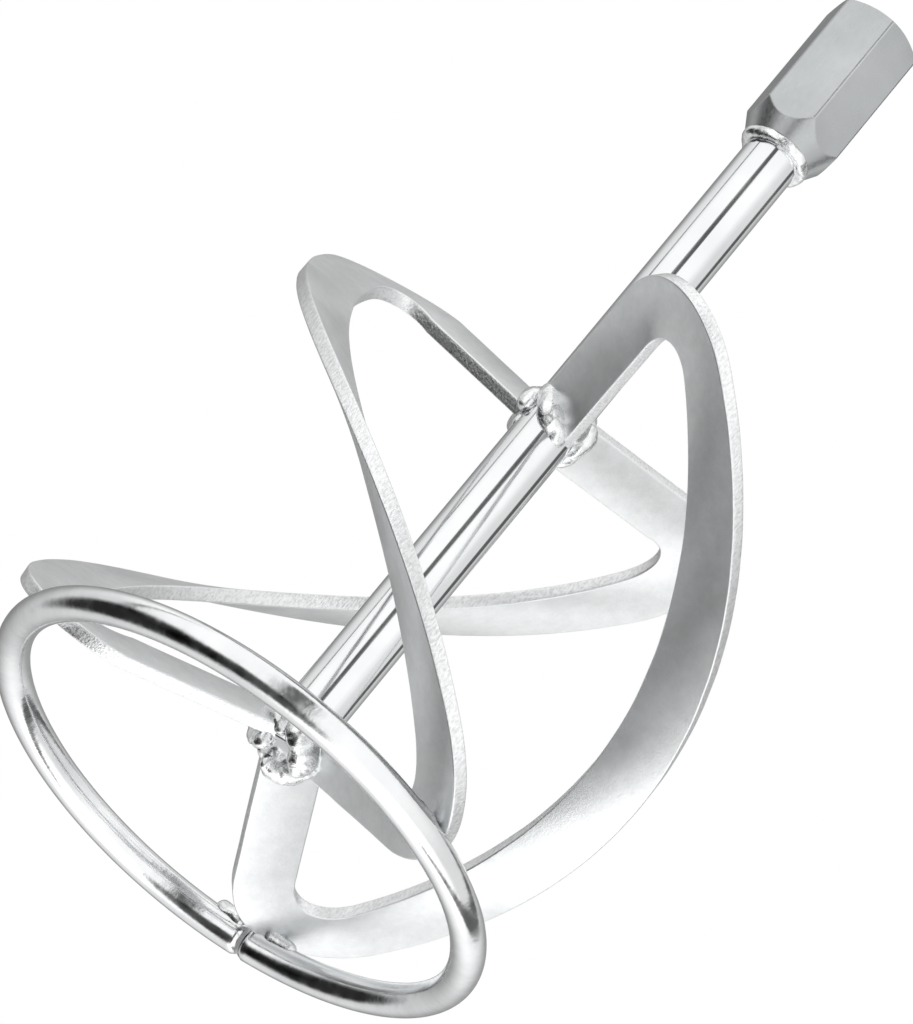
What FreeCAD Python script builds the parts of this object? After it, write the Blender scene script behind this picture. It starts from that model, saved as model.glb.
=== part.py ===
import FreeCAD, Part
import math
import os

# Mortar mixing paddle for a drill stirrer, a one-piece welded tool.
# Units are mm. +Z runs along the shaft towards the hex coupling.
# The paddle stands on its bottom ring, which touches z = 0.

V = FreeCAD.Vector
Z_AXIS = V(0, 0, 1)

# Driving dimensions
SHAFT_DIAMETER = 14.0
SHAFT_BOTTOM = 20.0
TOTAL_LENGTH = 261.0

HEX_ACROSS_FLATS = 22.0
HEX_LENGTH = 42.0
HEX_TURN = 37.0                # direction of one hex corner, degrees
HEX_TOP_CHAMFER_ANGLE = 30.0   # degrees from the end face
HEX_TOP_FACE_DIAMETER = 20.5
HEX_BASE_CHAMFER_ANGLE = 62.0
HEX_BASE_FACE_DIAMETER = 18.0
THREAD_CORE_DIAMETER = 12.0    # wall of the M14 x 2 tapped hole
THREAD_DEPTH = 32.0
MOUTH_CHAMFER = 1.2

RING_CENTRE_RADIUS = 62.0
RING_ROD_DIAMETER = 8.0
RING_GAP = 1.0                 # open butt joint between the rod's ends
RING_GAP_DIRECTION = 70.0      # degrees

PLATE_RIM_RADIUS = 70.0
PLATE_WIDTH = 14.5
PLATE_THICKNESS = 3.5
PLATE_SWEEP = 158.5            # turn from the upper arm to the lower arm, degrees
PLATE_TOP = 145.5              # height of the strip's middle at the upper corner
PLATE_DROP = 142.0             # fall of the strip between its two corners
UPPER_ARM_RISE = 20.0          # climb of the upper arm from the shaft to the rim
LOWER_ARM_FALL = 23.5
UPPER_BEND_RADIUS = 19.5       # at the strip's middle line
LOWER_BEND_RADIUS = 22.0
PLATE_DIRECTIONS = (-89.5, 149.5, 32.0)   # upper arm of each plate, degrees
PLATE_SHIFTS = (0.0, 3.5, -0.5)           # sideways set of each plate as welded
PLATE_STATIONS = 14            # section stations on each run of the strip

HUB_BEAD_RADIUS = 2.5
HUB_BEAD_LENGTH = 8.0
RING_BEAD_RADIUS = 2.4
COUPLING_BEAD_RADIUS = 1.6

# Worked-out values
SHAFT_RADIUS = SHAFT_DIAMETER / 2
ROD_RADIUS = RING_ROD_DIAMETER / 2
HEX_BOTTOM = TOTAL_LENGTH - HEX_LENGTH
HEX_CORNER_RADIUS = HEX_ACROSS_FLATS / 2 / math.cos(math.radians(30))
STRIP_RADIUS = PLATE_RIM_RADIUS - PLATE_WIDTH / 2
SWEEP_LENGTH = math.radians(PLATE_SWEEP) * STRIP_RADIUS
PITCH = math.atan2(PLATE_DROP, SWEEP_LENGTH)


def cylinder(radius, bottom, top):
    return Part.makeCylinder(radius, top - bottom, V(0, 0, bottom), Z_AXIS)


def cone(bottom_radius, top_radius, bottom, top):
    return Part.makeCone(bottom_radius, top_radius, top - bottom, V(0, 0, bottom), Z_AXIS)


def around(angle_degrees, radius, height):
    angle = math.radians(angle_degrees)
    return V(radius * math.cos(angle), radius * math.sin(angle), height)


def hex_coupling():
    corners = [around(HEX_TURN + 60 * i, HEX_CORNER_RADIUS, HEX_BOTTOM) for i in range(7)]
    prism = Part.Face(Part.makePolygon(corners)).extrude(V(0, 0, HEX_LENGTH))
    reach = HEX_CORNER_RADIUS + 1.0
    base_radius = HEX_BASE_FACE_DIAMETER / 2
    top_radius = HEX_TOP_FACE_DIAMETER / 2
    base_rise = (reach - base_radius) * math.tan(math.radians(HEX_BASE_CHAMFER_ANGLE))
    top_rise = (reach - top_radius) * math.tan(math.radians(HEX_TOP_CHAMFER_ANGLE))
    envelope = cone(base_radius, reach, HEX_BOTTOM, HEX_BOTTOM + base_rise)
    envelope = envelope.fuse(cylinder(reach, HEX_BOTTOM + base_rise, TOTAL_LENGTH - top_rise))
    envelope = envelope.fuse(cone(reach, top_radius, TOTAL_LENGTH - top_rise, TOTAL_LENGTH))
    core_radius = THREAD_CORE_DIAMETER / 2
    bore_bottom = TOTAL_LENGTH - THREAD_DEPTH
    drill_tip = cone(0.0, core_radius, bore_bottom - core_radius * 0.6, bore_bottom)
    bore = cylinder(core_radius, bore_bottom, TOTAL_LENGTH).fuse(drill_tip)
    mouth = cone(core_radius, core_radius + MOUTH_CHAMFER, TOTAL_LENGTH - MOUTH_CHAMFER, TOTAL_LENGTH)
    return prism.common(envelope).cut(bore).cut(mouth).removeSplitter()


def shaft():
    return cylinder(SHAFT_RADIUS, SHAFT_BOTTOM, HEX_BOTTOM)


def rod_hoop(turn=360.0):
    centre = V(0, 0, ROD_RADIUS)
    return Part.makeTorus(RING_CENTRE_RADIUS, ROD_RADIUS, centre, Z_AXIS, -180, 180, turn)


def bottom_ring():
    gap_angle = math.degrees(RING_GAP / RING_CENTRE_RADIUS)
    ring = rod_hoop(360 - gap_angle)
    ring.rotate(V(0, 0, 0), Z_AXIS, RING_GAP_DIRECTION + gap_angle / 2)
    return ring


def strip_path():
    """Middle line of a plate as (radius, length along the sweep, heading) in flat measure."""
    inner = SHAFT_RADIUS * 0.4
    upper_start = STRIP_RADIUS - UPPER_BEND_RADIUS
    lower_start = STRIP_RADIUS - LOWER_BEND_RADIUS
    quarter = math.pi / 2
    path = []
    for i in range(PLATE_STATIONS):
        part = i / PLATE_STATIONS
        path.append((inner + (upper_start - inner) * part, 0.0, 0.0))
    for i in range(PLATE_STATIONS):
        heading = quarter * i / PLATE_STATIONS
        radius = upper_start + UPPER_BEND_RADIUS * math.sin(heading)
        path.append((radius, UPPER_BEND_RADIUS * (1 - math.cos(heading)), heading))
    helix_length = SWEEP_LENGTH - UPPER_BEND_RADIUS - LOWER_BEND_RADIUS
    for i in range(2 * PLATE_STATIONS):
        part = i / (2 * PLATE_STATIONS)
        path.append((STRIP_RADIUS, UPPER_BEND_RADIUS + helix_length * part, quarter))
    for i in range(PLATE_STATIONS):
        turn = quarter * i / PLATE_STATIONS
        radius = lower_start + LOWER_BEND_RADIUS * math.cos(turn)
        length = SWEEP_LENGTH - LOWER_BEND_RADIUS + LOWER_BEND_RADIUS * math.sin(turn)
        path.append((radius, length, quarter + turn))
    for i in range(PLATE_STATIONS + 1):
        part = i / PLATE_STATIONS
        path.append((lower_start + (inner - lower_start) * part, SWEEP_LENGTH, math.pi))
    return path


def strip_frame(radius, length, heading):
    """Point on the middle line with the strip's width and thickness directions there."""
    angle = length / STRIP_RADIUS
    outward = V(math.cos(angle), math.sin(angle), 0)
    forward = V(-math.sin(angle), math.cos(angle), 0) * math.cos(PITCH) - Z_AXIS * math.sin(PITCH)
    arm_share = (STRIP_RADIUS - radius) / STRIP_RADIUS
    arm_height = -UPPER_ARM_RISE if length < SWEEP_LENGTH / 2 else LOWER_ARM_FALL
    height = PLATE_TOP - PLATE_DROP * length / SWEEP_LENGTH + arm_height * arm_share
    point = outward * radius + Z_AXIS * height
    width_way = forward * math.cos(heading) - outward * math.sin(heading)
    thick_way = outward.cross(forward)
    return point, width_way, thick_way


def strip_solid():
    sections = []
    for station in strip_path():
        point, width_way, thick_way = strip_frame(*station)
        across = width_way * (PLATE_WIDTH / 2)
        up = thick_way * (PLATE_THICKNESS / 2)
        corners = [point + across + up, point - across + up, point - across - up, point + across - up]
        sections.append(Part.makePolygon(corners + corners[:1]))
    return Part.makeLoft(sections, True, False)


def turned(shape, index):
    copy = shape.copy()
    copy.rotate(V(0, 0, 0), Z_AXIS, PLATE_DIRECTIONS[index])
    return copy


def largest_solid(shape):
    return max(shape.Solids, key=lambda solid: solid.Volume)


def cut_by_neighbours(shape, others):
    for other in others:
        if shape.BoundBox.intersect(other.BoundBox):
            shape = shape.cut(other)
    return shape


def capsule(start, end, radius):
    way = end - start
    bar = Part.makeCylinder(radius, way.Length, start, way)
    return bar.fuse(Part.makeSphere(radius, start)).fuse(Part.makeSphere(radius, end))


def hub_bead(at_lower_arm, side):
    """Bead along the joint between an arm and the shaft, on one face of the plate."""
    length, heading = (SWEEP_LENGTH, math.pi) if at_lower_arm else (0.0, 0.0)
    point, width_way, thick_way = strip_frame(SHAFT_RADIUS, length, heading)
    middle = point + thick_way * (side * (PLATE_THICKNESS / 2 + 0.6))
    half = width_way * (HUB_BEAD_LENGTH / 2)
    return capsule(middle - half, middle + half, HUB_BEAD_RADIUS)


def ring_bead(side):
    """Bead on one side of the foot, along the top of the ring's rod."""
    foot = math.degrees(SWEEP_LENGTH / STRIP_RADIUS)
    reach = math.degrees((PLATE_WIDTH / 2 - 1) / RING_CENTRE_RADIUS)
    radius = RING_CENTRE_RADIUS - 1.5
    height = ROD_RADIUS * 1.8
    middle = foot + side * reach * 1.1
    start = around(middle - reach * 0.6, radius, height)
    end = around(middle + reach * 0.6, radius, height)
    return capsule(start, end, RING_BEAD_RADIUS)


def coupling_weld():
    bead = Part.makeTorus(SHAFT_RADIUS + 0.6, COUPLING_BEAD_RADIUS, V(0, 0, HEX_BOTTOM - 1.0), Z_AXIS)
    return bead


parts = {}
parts["shaft"] = shaft()
parts["hex_coupling"] = hex_coupling()
parts["bottom_ring"] = bottom_ring()
parts["coupling_weld"] = coupling_weld().cut(parts["shaft"]).cut(parts["hex_coupling"])

shaft_core = cylinder(SHAFT_RADIUS, 0, HEX_BOTTOM)
ground_slab = cylinder(PLATE_RIM_RADIUS + 20, -10, ROD_RADIUS)
strip = strip_solid()
for index in range(3):
    plate = turned(strip, index)
    plate.translate(V(PLATE_SHIFTS[index], 0, 0))
    plate = plate.cut(shaft_core).cut(rod_hoop()).cut(ground_slab)
    parts[f"mixing_plate_{index + 1}"] = largest_solid(plate)

for index in range(3):
    beads = {}
    for arm in ("upper", "lower"):
        for face, side in (("top", 1), ("under", -1)):
            beads[f"{arm}_weld_{face}_{index + 1}"] = hub_bead(arm == "lower", side)
    beads[f"ring_weld_front_{index + 1}"] = ring_bead(1)
    beads[f"ring_weld_back_{index + 1}"] = ring_bead(-1)
    for name, bead in beads.items():
        parts[name] = largest_solid(cut_by_neighbours(turned(bead, index), parts.values()))

os.makedirs("parts", exist_ok=True)
for name, shape in parts.items():
    print(name, shape.isValid(), len(shape.Solids), round(shape.Volume, 1), shape.BoundBox)
    shape.exportStep(f"parts/{name}.step")
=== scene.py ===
import math

import bmesh
import bpy
from mathutils import Matrix, Vector, noise


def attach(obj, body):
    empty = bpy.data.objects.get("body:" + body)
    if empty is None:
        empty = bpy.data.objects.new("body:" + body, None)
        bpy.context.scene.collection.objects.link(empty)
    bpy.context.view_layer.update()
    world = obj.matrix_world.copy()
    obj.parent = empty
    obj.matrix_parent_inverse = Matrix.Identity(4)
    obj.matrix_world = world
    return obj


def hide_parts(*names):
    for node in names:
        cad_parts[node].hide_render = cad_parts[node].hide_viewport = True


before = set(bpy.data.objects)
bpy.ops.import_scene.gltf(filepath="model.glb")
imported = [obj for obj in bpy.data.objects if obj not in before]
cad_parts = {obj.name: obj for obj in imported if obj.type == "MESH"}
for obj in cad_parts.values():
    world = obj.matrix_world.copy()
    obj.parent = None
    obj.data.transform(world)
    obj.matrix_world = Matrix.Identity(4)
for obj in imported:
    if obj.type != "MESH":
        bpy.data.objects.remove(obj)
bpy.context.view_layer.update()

# Driving dimensions, in metres, in the CAD model's frame
SHAFT_RADIUS = 0.007
SHAFT_BOTTOM = 0.020
SHAFT_BROKEN_EDGE = 0.0006

TOTAL_LENGTH = 0.261
HEX_BOTTOM = 0.219
HEX_ACROSS_FLATS = 0.022
HEX_TURN = math.radians(37)
HEX_EDGE_RADIUS = 0.0004
HEX_TOP_RADIUS = 0.01025
HEX_TOP_ANGLE = math.radians(30)
HEX_BASE_RADIUS = 0.009
HEX_BASE_ANGLE = math.radians(62)
THREAD_CORE_RADIUS = 0.006
THREAD_GROOVE = 0.0010
THREAD_PITCH = 0.002
THREAD_DEPTH = 0.032
MOUTH_CHAMFER = 0.0012

RING_RADIUS = 0.062
ROD_RADIUS = 0.004
RING_GAP = 0.001
RING_GAP_DIRECTION = math.radians(70)
ROD_END_TAPER = 0.0005
ROD_END_LENGTH = 0.001

PLATE_RIM_RADIUS = 0.070
PLATE_WIDTH = 0.0145
PLATE_THICKNESS = 0.0035
PLATE_SWEEP = math.radians(158.5)
PLATE_TOP = 0.1455
PLATE_DROP = 0.142
UPPER_ARM_RISE = 0.020
LOWER_ARM_FALL = 0.0235
UPPER_BEND_RADIUS = 0.0195
LOWER_BEND_RADIUS = 0.022
PLATE_DIRECTIONS = (math.radians(-89.5), math.radians(149.5), math.radians(32.0))
PLATE_SHIFTS = (0.0, 0.0035, -0.0005)

PLATE_CORNER = 0.0004
EDGE_WANDER = 0.00010

HUB_BEAD_RADIUS = 0.0031
HUB_BEAD_STRETCH = 1.45
HUB_BEAD_REACH = 0.0067
HUB_BEAD_CURL = 0.0055
RING_BEAD_RADIUS = 0.0023
COUPLING_BEAD_RADIUS = 0.0017
BEAD_INSET = 0.0006

STRIP_RADIUS = PLATE_RIM_RADIUS - PLATE_WIDTH / 2
SWEEP_LENGTH = PLATE_SWEEP * STRIP_RADIUS
PITCH = math.atan2(PLATE_DROP, SWEEP_LENGTH)
Z_AXIS = Vector((0, 0, 1))


# ---------------------------------------------------------------- materials

class Nodes:
    """A material's node tree, with short calls for adding and joining nodes."""

    def __init__(self, name):
        self.material = bpy.data.materials.new(name)
        self.material.use_nodes = True
        self.tree = self.material.node_tree
        self.shader = self.tree.nodes["Principled BSDF"]

    def add(self, kind, **inputs):
        node = self.tree.nodes.new(kind)
        for name, value in inputs.items():
            self.put(node, name.replace("_", " "), value)
        return node

    def put(self, node, name, value):
        if isinstance(value, bpy.types.NodeSocket):
            self.tree.links.new(value, node.inputs[name])
        else:
            node.inputs[name].default_value = value

    def place(self, stretch=(1, 1, 1)):
        """Texture position, stretched along each axis."""
        position = self.add("ShaderNodeTexCoord").outputs["Object"]
        mapping = self.add("ShaderNodeMapping", Vector=position, Scale=stretch)
        return mapping.outputs["Vector"]

    def noise(self, place, scale, detail=3.0, roughness=0.5):
        node = self.add("ShaderNodeTexNoise", Vector=place, Scale=scale, Detail=detail)
        self.put(node, "Roughness", roughness)
        return node.outputs["Fac"]

    def ramp(self, factor, stops):
        """Colour ramp through (position, colour) stops."""
        node = self.add("ShaderNodeValToRGB", Fac=factor)
        for element, (position, colour) in zip(node.color_ramp.elements, stops):
            element.position = position
            element.color = (*colour, 1)
        return node.outputs["Color"]

    def remap(self, factor, low, high, start, end):
        """Maps start..end of a factor to low..high."""
        node = self.add("ShaderNodeMapRange", Value=factor)
        self.put(node, "From Min", start)
        self.put(node, "From Max", end)
        self.put(node, "To Min", low)
        self.put(node, "To Max", high)
        return node.outputs["Result"]

    def bump(self, height, strength, distance, under=None):
        """Normal with a bump, laid over another bump where one is given."""
        node = self.add("ShaderNodeBump", Height=height, Strength=strength, Distance=distance)
        if under is not None:
            self.put(node, "Normal", under)
        return node.outputs["Normal"]

    def surface(self, **inputs):
        for name, value in inputs.items():
            self.put(self.shader, name.replace("_", " "), value)
        return self.material


def bright_bar_material():
    """Drawn bar under bright zinc: mirror-like, with faint lengthwise draw lines."""
    n = Nodes("bright_bar")
    lines = n.noise(n.place((900, 900, 9)), 1.0, 2.0)
    clouds = n.noise(n.place(), 60.0, 3.0)
    tone = n.ramp(clouds, [(0.3, (0.74, 0.75, 0.76)), (0.7, (0.83, 0.84, 0.845))])
    gloss = n.remap(clouds, 0.07, 0.15, 0.3, 0.7)
    return n.surface(
        Base_Color=tone,
        Metallic=1.0,
        Roughness=gloss,
        Normal=n.bump(lines, 0.10, 0.0003),
    )


def ring_material():
    """Bent rod under bright zinc, with small tool marks."""
    n = Nodes("ring_rod")
    marks = n.noise(n.place(), 260.0, 4.0, 0.6)
    clouds = n.noise(n.place(), 70.0, 3.0)
    tone = n.ramp(clouds, [(0.3, (0.74, 0.75, 0.76)), (0.7, (0.84, 0.845, 0.85))])
    gloss = n.remap(marks, 0.10, 0.26, 0.35, 0.7)
    return n.surface(
        Base_Color=tone,
        Metallic=1.0,
        Roughness=gloss,
        Normal=n.bump(marks, 0.16, 0.0004),
    )


def plate_face_material():
    """Rolled sheet under zinc: satin with a fine speckle."""
    n = Nodes("plate_face")
    speckle = n.noise(n.place(), 1500.0, 3.0, 0.7)
    mottle = n.noise(n.place(), 260.0, 6.0, 0.75)
    clouds = n.noise(n.place(), 45.0, 4.0)
    tone = n.ramp(mottle, [(0.30, (0.735, 0.75, 0.755)), (0.70, (0.845, 0.86, 0.865))])
    gloss = n.remap(clouds, 0.34, 0.44, 0.3, 0.7)
    return n.surface(
        Base_Color=tone,
        Metallic=1.0,
        Roughness=gloss,
        Normal=n.bump(speckle, 0.20, 0.0002),
    )


def plate_edge_material():
    """Sheared edge of the sheet: pale, torn across its thickness."""
    n = Nodes("plate_edge")
    torn = n.noise(n.place(), 1500.0, 4.0, 0.7)
    tears = n.noise(n.place((2100, 2100, 900)), 1.0, 3.0)
    tone = n.ramp(tears, [(0.28, (0.68, 0.69, 0.695)), (0.58, (0.90, 0.905, 0.91))])
    gloss = n.remap(torn, 0.26, 0.50, 0.3, 0.7)
    return n.surface(
        Base_Color=tone,
        Metallic=1.0,
        Roughness=gloss,
        Normal=n.bump(tears, 0.40, 0.0004),
    )


def hexagon_material():
    """Hexagon bar under zinc: matt flats with fine grain."""
    n = Nodes("hexagon_bar")
    grain = n.noise(n.place((1, 1, 0.25)), 1800.0, 3.0, 0.6)
    clouds = n.noise(n.place(), 50.0, 3.0)
    tone = n.ramp(clouds, [(0.3, (0.44, 0.455, 0.46)), (0.7, (0.53, 0.545, 0.55))])
    gloss = n.remap(grain, 0.26, 0.40, 0.3, 0.7)
    return n.surface(
        Base_Color=tone,
        Metallic=1.0,
        Roughness=gloss,
        Normal=n.bump(grain, 0.08, 0.0002),
    )


def weld_material():
    """Weld metal under zinc: glossy and melted, with shallow runs and a few pits."""
    n = Nodes("weld_metal")
    runs = n.noise(n.place(), 380.0, 3.0, 0.5)
    pits = n.noise(n.place(), 1200.0, 3.0, 0.6)
    clouds = n.noise(n.place(), 200.0, 3.0)
    tone = n.ramp(clouds, [(0.34, (0.68, 0.69, 0.695)), (0.60, (0.90, 0.905, 0.91))])
    gloss = n.remap(pits, 0.18, 0.38, 0.3, 0.7)
    melted = n.bump(runs, 0.32, 0.0010)
    return n.surface(
        Base_Color=tone,
        Metallic=1.0,
        Roughness=gloss,
        Normal=n.bump(pits, 0.14, 0.0003, melted),
    )


bright_bar = bright_bar_material()
ring_rod = ring_material()
plate_face = plate_face_material()
plate_edge = plate_edge_material()
hexagon_bar = hexagon_material()
weld_metal = weld_material()


# ------------------------------------------------------------------- pieces

def add_piece(name, mesh_data, materials, replaced):
    """Puts a bmesh into the scene as a piece that stands for the CAD nodes named."""
    mesh = bpy.data.meshes.new(name)
    mesh_data.to_mesh(mesh)
    mesh_data.free()
    for material in materials:
        mesh.materials.append(material)
    piece = bpy.data.objects.new(name, mesh)
    bpy.context.scene.collection.objects.link(piece)
    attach(piece, "root")
    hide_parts(*replaced)
    return piece


def loft(sections, closed=False, capped=True):
    """Bmesh skin through rings of points, each ring with the same number of points."""
    mesh_data = bmesh.new()
    rings = [[mesh_data.verts.new(point) for point in section] for section in sections]
    count = len(rings[0])
    pairs = list(zip(rings, rings[1:]))
    if closed:
        pairs.append((rings[-1], rings[0]))
    for first, second in pairs:
        for i in range(count):
            j = (i + 1) % count
            face = mesh_data.faces.new((first[i], first[j], second[j], second[i]))
            face.smooth = True
    if capped and not closed:
        mesh_data.faces.new(list(reversed(rings[0])))
        mesh_data.faces.new(rings[-1])
    bmesh.ops.recalc_face_normals(mesh_data, faces=mesh_data.faces)
    return mesh_data


def circle(centre, first, second, radius, count):
    points = []
    for i in range(count):
        turn = math.tau * i / count
        points.append(centre + radius * (math.cos(turn) * first + math.sin(turn) * second))
    return points


def around(angle, radius, height):
    return Vector((radius * math.cos(angle), radius * math.sin(angle), height))


def make_shaft():
    """Round bar with a small broken edge at its lower end."""
    edge = SHAFT_BROKEN_EDGE
    outline = [(SHAFT_RADIUS - edge, SHAFT_BOTTOM)]
    for i in range(5):
        turn = math.pi / 2 * i / 4
        radius = SHAFT_RADIUS - edge + edge * math.sin(turn)
        outline.append((radius, SHAFT_BOTTOM + edge - edge * math.cos(turn)))
    for height in (SHAFT_BOTTOM + 0.0015, HEX_BOTTOM, HEX_BOTTOM + 0.001):
        outline.append((SHAFT_RADIUS, height))
    x_axis, y_axis = Vector((1, 0, 0)), Vector((0, 1, 0))
    sections = [circle(Z_AXIS * height, x_axis, y_axis, radius, 128) for radius, height in outline]
    return add_piece("shaft_bar", loft(sections), [bright_bar], ["shaft"])


def make_ring():
    """Rod bent to a ring, its two sawn ends facing each other across a narrow gap."""
    steps = 360
    gap_angle = RING_GAP / RING_RADIUS
    sections = []
    for i in range(steps + 1):
        angle = RING_GAP_DIRECTION + gap_angle / 2 + (math.tau - gap_angle) * i / steps
        outward = around(angle, 1, 0)
        end_distance = min(i, steps - i) * math.tau / steps * RING_RADIUS
        radius = ROD_RADIUS - ROD_END_TAPER * max(0.0, 1 - end_distance / ROD_END_LENGTH)
        centre = outward * RING_RADIUS + Z_AXIS * ROD_RADIUS
        sections.append(circle(centre, outward, Z_AXIS, radius, 48))
    return add_piece("ring_rod", loft(sections), [ring_rod], ["bottom_ring"])


def strip_path():
    """Middle line of a plate as (radius, length along the sweep, heading)."""
    inner = SHAFT_RADIUS * 0.4
    upper_start = STRIP_RADIUS - UPPER_BEND_RADIUS
    lower_start = STRIP_RADIUS - LOWER_BEND_RADIUS
    helix_length = SWEEP_LENGTH - UPPER_BEND_RADIUS - LOWER_BEND_RADIUS
    quarter = math.pi / 2
    path = []
    for i in range(40):
        path.append((inner + (upper_start - inner) * i / 40, 0.0, 0.0))
    for i in range(32):
        turn = quarter * i / 32
        radius = upper_start + UPPER_BEND_RADIUS * math.sin(turn)
        path.append((radius, UPPER_BEND_RADIUS * (1 - math.cos(turn)), turn))
    for i in range(130):
        path.append((STRIP_RADIUS, UPPER_BEND_RADIUS + helix_length * i / 130, quarter))
    for i in range(32):
        turn = quarter * i / 32
        radius = lower_start + LOWER_BEND_RADIUS * math.cos(turn)
        length = SWEEP_LENGTH - LOWER_BEND_RADIUS + LOWER_BEND_RADIUS * math.sin(turn)
        path.append((radius, length, quarter + turn))
    for i in range(41):
        path.append((lower_start + (inner - lower_start) * i / 40, SWEEP_LENGTH, math.pi))
    return path


def strip_frame(radius, length, heading):
    """Point on the middle line with the strip's width and thickness directions there."""
    angle = length / STRIP_RADIUS
    outward = around(angle, 1, 0)
    forward = around(angle + math.pi / 2, math.cos(PITCH), -math.sin(PITCH))
    arm_share = (STRIP_RADIUS - radius) / STRIP_RADIUS
    arm_height = -UPPER_ARM_RISE if length < SWEEP_LENGTH / 2 else LOWER_ARM_FALL
    height = PLATE_TOP - PLATE_DROP * length / SWEEP_LENGTH + arm_height * arm_share
    point = outward * radius + Z_AXIS * height
    width_way = forward * math.cos(heading) - outward * math.sin(heading)
    thick_way = outward.cross(forward)
    return point, width_way, thick_way


def plate_profile():
    """Cross-section as (across, up) points: flat faces, small rolled and sheared corners."""
    half_width = PLATE_WIDTH / 2
    half_thickness = PLATE_THICKNESS / 2
    corner = PLATE_CORNER
    points = []
    for side, face in ((1, 1), (-1, 1), (-1, -1), (1, -1)):
        first = 0 if side == face else 90
        for step in range(4):
            turn = math.radians(first + (30 if side == face else -30) * step)
            across = side * (half_width - corner + corner * math.cos(turn))
            up = face * (half_thickness - corner + corner * math.sin(turn))
            points.append((across, up))
        if face == side:
            continue
        for step in range(1, 4):
            points.append((side * half_width, up * (1 - step / 2)))
    return points


def make_plate(index):
    turn = Matrix.Rotation(PLATE_DIRECTIONS[index], 4, "Z")
    shift = Matrix.Translation((PLATE_SHIFTS[index], 0, 0))
    profile = plate_profile()
    half_width = PLATE_WIDTH / 2
    sections = []
    for radius, length, heading in strip_path():
        point, width_way, thick_way = strip_frame(radius, length, heading)
        section = []
        for across, up in profile:
            wander = noise.noise((point + width_way * across) * 120 + Vector((index * 7, 0, 0)))
            if abs(across) > half_width * 0.9:
                across += EDGE_WANDER * wander
            section.append(point + width_way * across + thick_way * up)
        sections.append(section)
    plate = loft(sections)
    for face in plate.faces:
        if face.calc_area() > 0 and face_is_edge(face):
            face.material_index = 1
    plate.transform(shift @ turn)
    trim_below(plate, ROD_RADIUS)
    materials = [plate_face, plate_edge]
    replaced = [f"mixing_plate_{index + 1}"]
    return add_piece(f"plate_{index + 1}", plate, materials, replaced)


def face_is_edge(face):
    """Whether a face of the strip lies on its cut edge, by how steeply it stands to the sheet."""
    centre = face.calc_center_median()
    angle = math.atan2(centre.y, centre.x)
    sheet_normal = around(angle, 1, 0).cross(
        around(angle + math.pi / 2, math.cos(PITCH), -math.sin(PITCH))
    )
    return abs(face.normal.dot(sheet_normal)) < 0.5


def trim_below(mesh_data, height):
    """Cuts the piece level at that height and closes the cut."""
    everything = mesh_data.verts[:] + mesh_data.edges[:] + mesh_data.faces[:]
    cut = bmesh.ops.bisect_plane(
        mesh_data, geom=everything, plane_co=(0, 0, height), plane_no=(0, 0, 1), clear_inner=True
    )
    rim = [item for item in cut["geom_cut"] if isinstance(item, bmesh.types.BMEdge)]
    bmesh.ops.holes_fill(mesh_data, edges=rim)


def bead(path, radius, seed, closed=False, stretch=1.0):
    """Weld bead along a path: melted metal with uneven swellings and rounded ends.

    Stretch makes its cross-section taller than it is wide.
    """
    sections = []
    last = len(path) - 1
    for i, point in enumerate(path):
        before = path[i - 1] if i or closed else path[0]
        after = path[(i + 1) % len(path)] if i < last or closed else path[last]
        along = (after - before).normalized()
        across = along.cross(Z_AXIS).normalized()
        upward = across.cross(along)
        end = 1.0 if closed else math.sqrt(max(0.0, 1 - (2 * i / last - 1) ** 4))
        section = []
        for spot in circle(point, across, upward, 1.0, 32):
            way = spot - point
            place = point + way * radius
            swelling = noise.noise(place * 170 + Vector((seed, 0, 0)))
            lump = noise.noise(place * 480 + Vector((0, seed, 0)))
            reach = radius * max(0.02, end) * (1 + 0.45 * swelling + 0.10 * lump)
            section.append(point + Vector((way.x, way.y, way.z * stretch)) * reach)
        sections.append(section)
    return loft(sections, closed=closed)


def make_hub_beads(index):
    turn = Matrix.Rotation(PLATE_DIRECTIONS[index], 4, "Z")
    for arm, length, heading in (("upper", 0.0, 0.0), ("lower", SWEEP_LENGTH, math.pi)):
        point, width_way, thick_way = strip_frame(SHAFT_RADIUS, length, heading)
        for face, side in (("top", 1), ("under", -1)):
            middle = point + thick_way * (side * (PLATE_THICKNESS / 2 + BEAD_INSET))
            outward = Vector((point.x, point.y, 0)).normalized()
            seed = index * 10 + side * 3 + length * 100
            path = []
            for i in range(60):
                offset = HUB_BEAD_REACH * (2 * i / 59 - 1)
                curl = 1 - math.sqrt(1 - (offset / SHAFT_RADIUS) ** 2)
                path.append(middle + width_way * offset - outward * (HUB_BEAD_CURL * curl))
            mesh_data = bead(path, HUB_BEAD_RADIUS, seed, stretch=HUB_BEAD_STRETCH)
            mesh_data.transform(turn)
            node = f"{arm}_weld_{face}_{index + 1}"
            add_piece(f"bead_{arm}_{face}_{index + 1}", mesh_data, [weld_metal], [node])


def make_ring_beads(index):
    foot = PLATE_DIRECTIONS[index] + PLATE_SWEEP
    reach = (PLATE_WIDTH / 2 - 0.001) / RING_RADIUS
    for name, side in (("front", 1), ("back", -1)):
        middle = foot + side * reach * 1.1
        path = []
        for i in range(40):
            angle = middle + reach * 0.75 * (2 * i / 39 - 1)
            path.append(around(angle, RING_RADIUS - 0.0018, ROD_RADIUS * 1.75))
        node = f"ring_weld_{name}_{index + 1}"
        mesh_data = bead(path, RING_BEAD_RADIUS, index * 5 + side)
        add_piece(f"bead_ring_{name}_{index + 1}", mesh_data, [weld_metal], [node])


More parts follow.
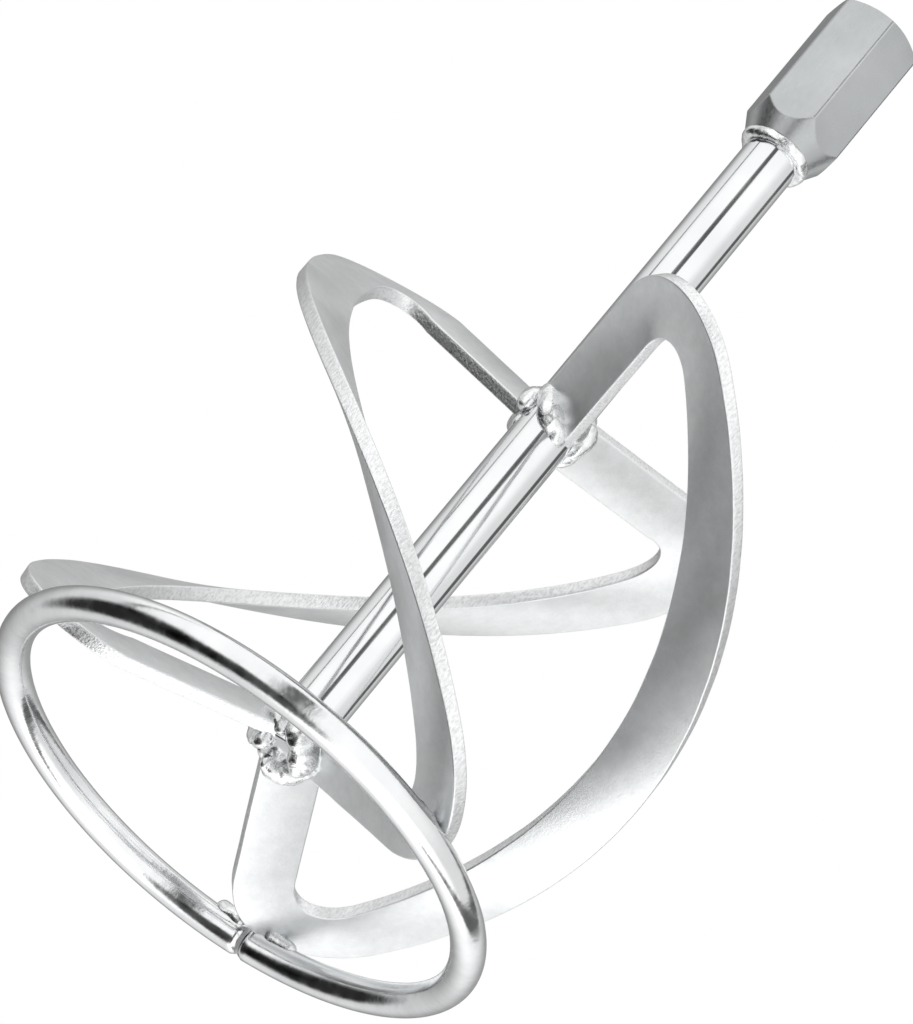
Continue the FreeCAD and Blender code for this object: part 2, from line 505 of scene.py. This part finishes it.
def make_coupling_bead():
    path = [around(math.tau * i / 240, SHAFT_RADIUS + 0.0005, HEX_BOTTOM - 0.0008) for i in range(240)]
    mesh_data = bead(path, COUPLING_BEAD_RADIUS, 3.0, closed=True)
    return add_piece("bead_coupling", mesh_data, [weld_metal], ["coupling_weld"])


def hexagon_outline():
    """Corners of the hexagon bar, each slightly rounded, with points along the flats."""
    half_flats = HEX_ACROSS_FLATS / 2
    corner_reach = half_flats * math.tan(math.radians(30)) - HEX_EDGE_RADIUS
    points = []
    for side in range(6):
        outward = around(HEX_TURN + math.radians(30 + 60 * side), 1, 0)
        sideways = around(HEX_TURN + math.radians(120 + 60 * side), 1, 0)
        for i in range(25):
            points.append(outward * half_flats + sideways * corner_reach * (i / 12 - 1))
        middle = outward * half_flats + sideways * half_flats * math.tan(math.radians(30))
        points.append(middle * (1 - HEX_EDGE_RADIUS * 0.35 / middle.length))
    return points


def coupling_outline():
    """Heights and greatest radii up the outside of the coupling, in the order of the skin."""
    reach = HEX_ACROSS_FLATS / 2 / math.cos(math.radians(30))
    base_rise = (reach - HEX_BASE_RADIUS) * math.tan(HEX_BASE_ANGLE)
    top_rise = (reach - HEX_TOP_RADIUS) * math.tan(HEX_TOP_ANGLE)
    outline = []
    for i in range(50):
        radius = HEX_BASE_RADIUS + (reach - HEX_BASE_RADIUS) * i / 49
        outline.append((HEX_BOTTOM + base_rise * i / 49, radius))
    for i in range(20):
        radius = reach - (reach - HEX_TOP_RADIUS) * i / 19
        outline.append((TOTAL_LENGTH - top_rise * (1 - i / 19), radius))
    return outline


def make_coupling():
    """Hexagon coupling in one skin: outside, end face, chamfered mouth and threaded hole."""
    flats = hexagon_outline()
    sections = []
    for height, limit in coupling_outline():
        section = [p * min(1.0, limit / p.length) + Z_AXIS * height for p in flats]
        sections.append(section)
    mouth_radius = THREAD_CORE_RADIUS + MOUTH_CHAMFER
    sections.append([p.normalized() * mouth_radius + Z_AXIS * TOTAL_LENGTH for p in flats])
    steps = int(THREAD_DEPTH / THREAD_PITCH * 12)
    for i in range(steps):
        depth = THREAD_DEPTH * (i + 1) / steps
        section = []
        for p in flats:
            turn = math.atan2(p.y, p.x) / math.tau
            phase = (depth / THREAD_PITCH + turn) % 1.0
            ridge = 1 - abs(2 * phase - 1)
            groove = THREAD_GROOVE * min(1.0, max(0.0, 1.4 * ridge - 0.2))
            wall = max(THREAD_CORE_RADIUS + groove, mouth_radius - depth)
            section.append(p.normalized() * wall + Z_AXIS * (TOTAL_LENGTH - depth))
        sections.append(section)
    mesh_data = loft(sections)
    coupling = add_piece("coupling", mesh_data, [hexagon_bar], ["hex_coupling"])
    coupling.data.set_sharp_from_angle(angle=math.radians(18))
    return coupling


make_shaft()
make_ring()
for plate_index in range(3):
    make_plate(plate_index)
    make_hub_beads(plate_index)
    make_ring_beads(plate_index)
make_coupling_bead()
make_coupling()


# -------------------------------------------------------------------- stage

def make_floor():
    """Pale floor, seen only from above."""
    material = bpy.data.materials.new("floor")
    material.use_nodes = True
    tree = material.node_tree
    shader = tree.nodes["Principled BSDF"]
    shader.inputs["Base Color"].default_value = (0.86, 0.86, 0.86, 1)
    shader.inputs["Roughness"].default_value = 0.9
    clear = tree.nodes.new("ShaderNodeBsdfTransparent")
    facing = tree.nodes.new("ShaderNodeNewGeometry")
    mix = tree.nodes.new("ShaderNodeMixShader")
    tree.links.new(facing.outputs["Backfacing"], mix.inputs[0])
    tree.links.new(shader.outputs["BSDF"], mix.inputs[1])
    tree.links.new(clear.outputs["BSDF"], mix.inputs[2])
    tree.links.new(mix.outputs["Shader"], tree.nodes["Material Output"].inputs["Surface"])
    bpy.ops.mesh.primitive_plane_add(size=8, location=(0, 0, 0))
    floor = bpy.context.object
    floor.name = "floor"
    floor.data.materials.append(material)
    floor.visible_diffuse = False
    floor.visible_glossy = False
    floor.visible_transmission = False
    floor.visible_shadow = False


STUDIO_LIGHT = 1.22

# Cards round the studio, for the steel to mirror. Angles in degrees. All are dark but the lamp,
# which is the one brighter than 1.
ROUND_CARDS = (
    # turn, rise, reach at full strength, reach where it ends, brightness
    (176, -38, 26, 46, 0.03),
    (-135, -58, 20, 36, 0.06),
    (140, -15, 8, 80, 0.60),
    (88, 28, 16, 66, 0.30),
    (0, -58, 16, 44, 1.7),
)
STRIP_CARDS = (
    # turn, half width, width of its soft edge, brightness
    (-174, 1.2, 3, 0.15),
    (-99, 6, 3, 0.10),
    (20, 7, 4, 0.14),
    (0, 10, 42, 0.72),
)


def make_world():
    """White surroundings with dark cards in them. The camera itself sees plain white."""
    world = bpy.data.worlds.new("studio")
    bpy.context.scene.world = world
    world.use_nodes = True
    tree = world.node_tree
    background = tree.nodes["Background"]

    def math_node(operation, first, second=None):
        node = tree.nodes.new("ShaderNodeMath")
        node.operation = operation
        for socket, value in zip(node.inputs, (first, second)):
            if isinstance(value, bpy.types.NodeSocket):
                tree.links.new(value, socket)
            elif value is not None:
                socket.default_value = value
        return node.outputs[0]

    def step(value, start, end, low, high):
        node = tree.nodes.new("ShaderNodeMapRange")
        node.interpolation_type = "SMOOTHSTEP"
        tree.links.new(value, node.inputs["Value"])
        for name, number in (("From Min", start), ("From Max", end), ("To Min", low), ("To Max", high)):
            node.inputs[name].default_value = number
        return node.outputs["Result"]

    direction = tree.nodes.new("ShaderNodeTexCoord").outputs["Generated"]
    split = tree.nodes.new("ShaderNodeSeparateXYZ")
    tree.links.new(direction, split.inputs[0])
    azimuth = math_node("ARCTAN2", split.outputs["Y"], split.outputs["X"])
    light = STUDIO_LIGHT

    for turn, rise, inner, outer, brightness in ROUND_CARDS:
        centre = around(math.radians(turn), math.cos(math.radians(rise)), math.sin(math.radians(rise)))
        closeness = tree.nodes.new("ShaderNodeVectorMath")
        closeness.operation = "DOT_PRODUCT"
        tree.links.new(direction, closeness.inputs[0])
        closeness.inputs[1].default_value = centre
        start, end = math.cos(math.radians(outer)), math.cos(math.radians(inner))
        card = step(closeness.outputs["Value"], start, end, 1.0, brightness)
        light = math_node("MULTIPLY", light, card)

    level = math_node("ABSOLUTE", split.outputs["Z"])
    reach = step(level, 0.75, 0.95, 1.0, 0.0)
    for turn, half_width, softness, brightness in STRIP_CARDS:
        offset = math_node("ABSOLUTE", math_node("SUBTRACT", azimuth, math.radians(turn)))
        start, end = math.radians(half_width), math.radians(half_width + softness)
        shade = math_node("MULTIPLY", reach, step(offset, start, end, 1 - brightness, 0.0))
        light = math_node("MULTIPLY", light, math_node("SUBTRACT", 1.0, shade))

    seen = tree.nodes.new("ShaderNodeLightPath").outputs["Is Camera Ray"]
    light = math_node("MAXIMUM", light, seen)
    tree.links.new(light, background.inputs["Strength"])
    background.inputs["Color"].default_value = (1, 1, 1, 1)


def make_camera():
    """Long lens below the ring's level, looking up the tool, which leans to the right."""
    elevation = math.radians(-26.23)
    lean = math.radians(39.64)
    distance = 1.586
    aim = Vector((-0.0041, -0.0356, 0.0763))
    toward = Vector((0, -math.cos(elevation), math.sin(elevation)))
    level_right = Vector((1, 0, 0))
    level_up = toward.cross(level_right)
    right = math.cos(lean) * level_right + math.sin(lean) * level_up
    up = math.cos(lean) * level_up - math.sin(lean) * level_right
    data = bpy.data.cameras.new("camera")
    data.lens = 252.6
    data.sensor_width = 36
    camera = bpy.data.objects.new("camera", data)
    rotation = Matrix((right, up, toward)).transposed().to_4x4()
    camera.matrix_world = Matrix.Translation(aim + toward * distance) @ rotation
    bpy.context.scene.collection.objects.link(camera)
    bpy.context.scene.camera = camera


make_floor()
make_world()
make_camera()
bpy.context.scene.view_settings.view_transform = "Standard"
